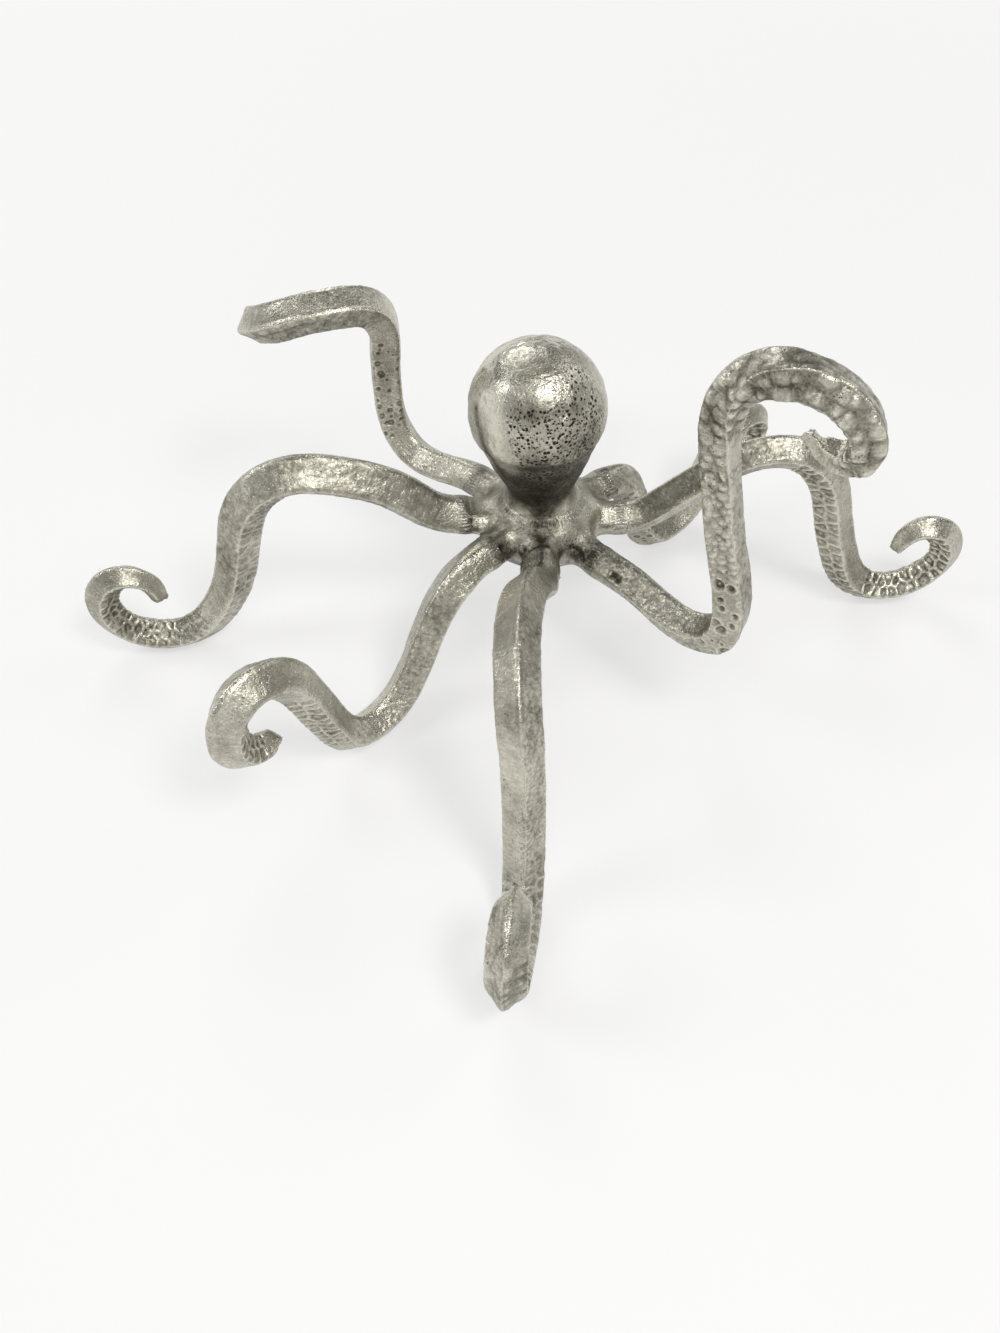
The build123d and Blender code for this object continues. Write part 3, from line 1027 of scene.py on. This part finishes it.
def skin_pores(wires, start, mottle):
    """From 0 to 1: fine pores in patches, and ragged holes where the mask asks for them."""
    pores = wires.spread(wires.cells(start["Vector"], PORE_SCALE), 0.36, 0.16)
    gate = wires.noise(start["Vector"], GATE_SCALE, 3.0, 0.6)
    gate = wires.spread(gate, 0.50, 0.68, 0.0, 0.75)
    gate = wires.spread(wires.sum("ADD", gate, start["Porous"]), 0.0, 1.0)
    pores = wires.sum("MULTIPLY", pores, gate)
    ragged = wires.spread(mottle, 0.35, 0.65, -0.14, 0.14)
    ragged = wires.sum("ADD", wires.cells(start["Vector"], HOLE_SCALE), ragged)
    holes = wires.spread(ragged, 0.40, 0.26)
    holes = wires.sum("MULTIPLY", holes, wires.spread(start["Porous"], 0.15, 0.65))
    return wires.sum("MAXIMUM", pores, holes)


# %% Colour, roughness and height
# Near black, for the pores and for the deepest painted shade.
PORE_AND_SHADE_BLACK = (0.030, 0.026, 0.021, 1)


def skin_colour(wires, start, tone, mottle, pores):
    """Bright metal, patina and painted shade over it, and near black where the painted shade is
    deepest and in the pores.
    """
    colour = wires.blend(tone, start["Silver"], start["Patina"])
    deep = wires.sum("ADD", start["Painted_shade_and_highlight"], wires.spread(mottle, 0.35, 0.65, -0.22, 0.22))
    colour = wires.blend(wires.spread(deep, 0.35, 1.45), colour, PORE_AND_SHADE_BLACK)
    return wires.blend(pores, colour, PORE_AND_SHADE_BLACK)


def skin_roughness(wires, tone, fine):
    rough = wires.spread(tone, 0.0, 1.0, 0.23, 0.48)
    return wires.sum("ADD", rough, wires.spread(fine, 0.35, 0.65, -0.06, 0.08))


def skin_height(wires, start, mottle, fine, pores):
    """The grain, less the pores, with brush marks, and flatter where the skin is smooth."""
    grain = wires.spread(fine, 0.3, 0.7, 0.0, 0.8)
    height = wires.sum("ADD", wires.spread(mottle, 0.3, 0.7, 0.0, 0.7), grain)
    height = wires.sum("SUBTRACT", height, wires.sum("MULTIPLY", pores, 1.6))
    height = wires.sum("ADD", height, wires.sum("MULTIPLY", start["Brush"], 0.25))
    smooth = wires.spread(start["Porous"], -0.8, 0.0, 0.3, 1.0)
    return wires.sum("MULTIPLY", height, smooth)


# %% The skin group
MASKS = ("Painted_hollow_shade", "Crest", "Painted_shade_and_highlight", "Porous")


def build_skin_group():
    group = bpy.data.node_groups.new("cast_skin", "ShaderNodeTree")
    socket(group, "Vector", "INPUT", "NodeSocketVector")
    for name in MASKS + ("Brush", "Dirt"):
        socket(group, name, "INPUT", "NodeSocketFloat")
    for name in ("Silver", "Patina"):
        socket(group, name, "INPUT", "NodeSocketColor")
    socket(group, "Color", "OUTPUT", "NodeSocketColor")
    socket(group, "Roughness", "OUTPUT", "NodeSocketFloat")
    socket(group, "Height", "OUTPUT", "NodeSocketFloat")
    wires = Wiring(group)
    start = wires.add("NodeGroupInput").outputs
    end = wires.add("NodeGroupOutput").inputs
    noises = skin_noises(wires, start["Vector"])
    _, mottle, fine = noises
    tone = skin_tone(wires, start, noises)
    pores = skin_pores(wires, start, mottle)
    wires.join(skin_colour(wires, start, tone, mottle, pores), end["Color"])
    wires.join(skin_roughness(wires, tone, fine), end["Roughness"])
    wires.join(skin_height(wires, start, mottle, fine, pores), end["Height"])
    print("skin group:", len(group.nodes), "nodes")
    return group


skin_group = build_skin_group()


# %% Brush marks that run across an arm
BRUSH_SCALE = 900.0
BRUSH_STRETCH = (1.0, 0.16, 1.0)


def brush_marks(wires):
    """Noise over the place on the arm, drawn out across it."""
    grain = wires.add("ShaderNodeAttribute", attribute_name="grain")
    stretch = wires.add("ShaderNodeMapping")
    stretch.inputs["Scale"].default_value = BRUSH_STRETCH
    wires.join(grain.outputs["Vector"], stretch.inputs["Vector"])
    brush = wires.noise(stretch.outputs["Vector"], BRUSH_SCALE, 3.0, 0.55)
    return wires.spread(brush, 0.50, 0.70)


# %% The two metals
def metal(name, silver, patina, dirt, relief_depth):
    material = bpy.data.materials.new(name)
    material.use_nodes = True
    wires = Wiring(material.node_tree)
    shader = wires.nodes["Principled BSDF"].inputs
    shader["Metallic"].default_value = 1.0
    skin = wires.add("ShaderNodeGroup", node_tree=skin_group)
    skin.inputs["Silver"].default_value = silver
    skin.inputs["Patina"].default_value = patina
    skin.inputs["Dirt"].default_value = dirt
    wires.join(wires.add("ShaderNodeTexCoord").outputs["Object"], skin.inputs["Vector"])
    wires.join(brush_marks(wires), skin.inputs["Brush"])
    for label in MASKS:
        mask = wires.add("ShaderNodeAttribute", attribute_name=label.lower())
        wires.join(mask.outputs["Fac"], skin.inputs[label])
    relief = wires.add("ShaderNodeBump")
    relief.inputs["Strength"].default_value = 1.0
    relief.inputs["Distance"].default_value = relief_depth
    wires.join(skin.outputs["Height"], relief.inputs["Height"])
    wires.join(skin.outputs["Color"], shader["Base Color"])
    wires.join(skin.outputs["Roughness"], shader["Roughness"])
    wires.join(relief.outputs["Normal"], shader["Normal"])
    return material


# The patina colour is also the colour that the painted shade darkens to.
casting = metal(
    "cast_aluminium",
    silver=(0.65, 0.629, 0.535, 1),
    patina=(0.105, 0.096, 0.07, 1),
    dirt=0.28,
    relief_depth=0.14 * MM,
)
filler = metal(
    "weld_metal",
    silver=(0.61, 0.591, 0.515, 1),
    patina=(0.09, 0.082, 0.061, 1),
    dirt=0.40,
    relief_depth=0.18 * MM,
)

# %% [markdown]
# ## Handing the pieces to the frame
# Each skin stands for its imported node, rides on the one rigid body, and gets one of
# the two metals as its finish.

# %% Skins in place of the nodes
def dress(piece, node, material):
    piece.data.materials.append(material)
    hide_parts(node)
    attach(piece, ROOT)


for name, piece in arm_pieces.items():
    dress(piece, "arm_" + name, casting)
dress(head, "head", casting)
dress(hub, "hub", casting)
for name, piece in beads.items():
    dress(piece, "weld_" + name, filler)

# %% [markdown]
# ## Floor, light and camera
# In the photo a white sheet lies under and behind the ornament, with a faint shadow on
# it. The floor here is plain and nearly white. For the rays that show the background it
# also glows by a share that grows outwards, so that it goes on as white to the horizon
# while the shadow near the feet stays. The walls of the room are white in the same way,
# low down only. A metal needs something to mirror, so five soft square lamps stand
# round it: a large one in front like a window, a small key lamp for the brightest glint
# on the head, and one each at the left, the right and the back. Overhead the room is an
# even, dim grey.

# %% Rays that show the background
def seen_rays(wires):
    """1 for rays from the camera, off a mirroring surface, or through glass."""
    seen = wires.add("ShaderNodeLightPath").outputs
    rays = wires.sum("MAXIMUM", seen["Is Camera Ray"], seen["Is Glossy Ray"])
    return wires.sum("MAXIMUM", rays, seen["Is Transmission Ray"])


# %% The floor
FLOOR_RADIUS = 30.0
FLOOR_COLOUR = (0.90, 0.90, 0.89, 1)
# The share that glows is the lift up to the first distance, and all from the second on.
FLOOR_LIFT = 0.57
FLOOR_LIFT_RANGE = (0.35, 1.6)


def floor_glow(wires):
    """The share of the floor that glows, over its distance from the middle."""
    spot = wires.add("ShaderNodeTexCoord")
    away = wires.add("ShaderNodeVectorMath", operation="LENGTH")
    wires.join(spot.outputs["Object"], away.inputs[0])
    share = wires.spread(away.outputs["Value"], *FLOOR_LIFT_RANGE, FLOOR_LIFT, 1.0)
    return wires.sum("MULTIPLY", seen_rays(wires), share)


def floor_material():
    material = bpy.data.materials.new("floor_white")
    material.use_nodes = True
    wires = Wiring(material.node_tree)
    shader = wires.nodes["Principled BSDF"]
    shader.inputs["Base Color"].default_value = FLOOR_COLOUR
    shader.inputs["Roughness"].default_value = 0.9
    shader.inputs["Specular IOR Level"].default_value = 0.1
    white = wires.add("ShaderNodeEmission")
    white.inputs["Strength"].default_value = 1.0
    lift = wires.add("ShaderNodeMixShader")
    wires.join(floor_glow(wires), lift.inputs["Fac"])
    wires.join(shader.outputs["BSDF"], lift.inputs[1])
    wires.join(white.outputs["Emission"], lift.inputs[2])
    wires.join(lift.outputs["Shader"], wires.nodes["Material Output"].inputs["Surface"])
    return material


def build_floor():
    mesh = bpy.data.meshes.new("floor")
    work = bmesh.new()
    bmesh.ops.create_circle(work, cap_ends=True, segments=64, radius=FLOOR_RADIUS)
    work.to_mesh(mesh)
    work.free()
    floor = bpy.data.objects.new("floor", mesh)
    bpy.context.scene.collection.objects.link(floor)
    mesh.materials.append(floor_material())
    print("floor:", FLOOR_RADIUS, "m in radius")


build_floor()

# %% The lamps
LAMP_AIM = 60 * MM
# Name, azimuth and rise in degrees, distance and size in metres, watts, colour.
LAMPS = (
    ("window", -78, 50, 1.5, 1.10, 8.8, (1.0, 0.99, 0.97)),
    ("key", -47, 60, 1.5, 0.38, 6.4, (1.0, 0.985, 0.96)),
    ("left", 186, 38, 1.5, 0.55, 5.6, (0.98, 0.99, 1.0)),
    ("right", 30, 38, 1.6, 0.80, 3.2, (1.0, 1.0, 1.0)),
    ("back", 112, 44, 1.6, 0.90, 6.4, (1.0, 1.0, 1.0)),
)


def lamp(name, azimuth, elevation, distance, size, watts, colour):
    """A square soft lamp, placed round the hub's axis and aimed at the ornament."""
    data = bpy.data.lights.new(name, "AREA")
    data.size = size
    data.energy = watts
    data.color = colour
    made = bpy.data.objects.new(name, data)
    bpy.context.scene.collection.objects.link(made)
    turn = math.radians(azimuth)
    rise = math.radians(elevation)
    flat = math.cos(rise)
    way = Vector((math.cos(turn) * flat, math.sin(turn) * flat, math.sin(rise)))
    made.location = axis + Vector((0, 0, LAMP_AIM)) + way * distance
    made.rotation_euler = way.to_track_quat("Z", "Y").to_euler()


for row in LAMPS:
    lamp(*row)
print("lamps:", len(LAMPS))

# %% The room
ROOM = (0.13, 0.13, 0.127, 1)
WHITE = (1.0, 1.0, 1.0, 1)
# How high a ray points, as a sine, where the wall is grey and where it is full white.
WALL_TOP = (0.26, 0.12)


def build_room():
    world = bpy.data.worlds.new("room")
    bpy.context.scene.world = world
    world.use_nodes = True
    wires = Wiring(world.node_tree)
    way = wires.add("ShaderNodeSeparateXYZ")
    wires.join(wires.add("ShaderNodeTexCoord").outputs["Generated"], way.inputs["Vector"])
    wall = wires.sum("MULTIPLY", wires.spread(way.outputs["Z"], *WALL_TOP), seen_rays(wires))
    wires.join(wires.blend(wall, ROOM, WHITE), wires.nodes["Background"].inputs["Color"])


build_room()

# %% [markdown]
# ## Where the photo was taken from
# The camera was fitted to the photo outside this script, from the spots where the arms
# meet the floor. It looks down from the front, a little left of the hub. Its place is
# counted from the hub's axis, so that it follows the model.

# %% The camera
CAMERA_FROM = Vector((-20, -424, 472)) * MM
CAMERA_AIM = Vector((-20, -41, 0)) * MM
LENS = 32.41


def build_camera():
    data = bpy.data.cameras.new("camera")
    data.sensor_width = 36
    data.lens = LENS
    data.clip_start = 0.01
    made = bpy.data.objects.new("camera", data)
    bpy.context.scene.collection.objects.link(made)
    made.location = axis + CAMERA_FROM
    made.rotation_euler = (CAMERA_AIM - CAMERA_FROM).to_track_quat("-Z", "Y").to_euler()
    bpy.context.scene.camera = made


build_camera()
bpy.context.scene.view_settings.view_transform = "Standard"
print("camera at", [round(v / MM) for v in CAMERA_FROM], "mm from the hub's foot")
